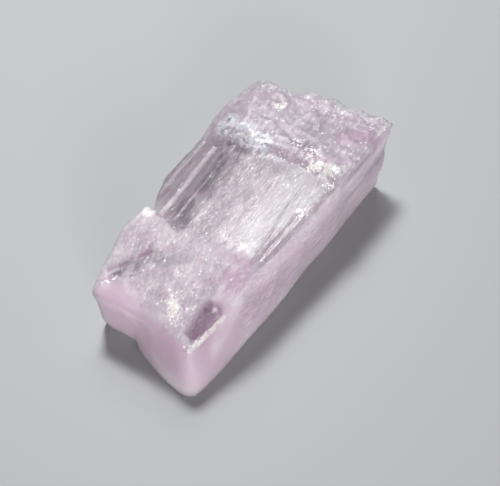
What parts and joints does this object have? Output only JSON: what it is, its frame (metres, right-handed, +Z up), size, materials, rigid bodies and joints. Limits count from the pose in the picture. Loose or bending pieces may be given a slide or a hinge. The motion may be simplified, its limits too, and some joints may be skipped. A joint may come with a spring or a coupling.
{
  "type": "kunzite crystal",
  "caption": "Rough lath of pale lilac kunzite with a cleaved flat table, a stepped sloping cleavage, a rough far cap and a worn frosted near end, lying on its flat side.",
  "frame": {"origin": "under the middle of the crystal's box, on the plane that it rests on", "axes": "+X along the crystal's long axis towards the rough cap, +Z up out of the cleaved table"},
  "size_m": [0.0316, 0.0164, 0.0082],
  "materials": {
    "kunzite": "translucent pale lilac crystal, glassy on the cleavages and frosted on the worn skin"
  },
  "bodies": {
    "root": {"kunzite_crystal": "kunzite"}
  },
  "joints": []
}
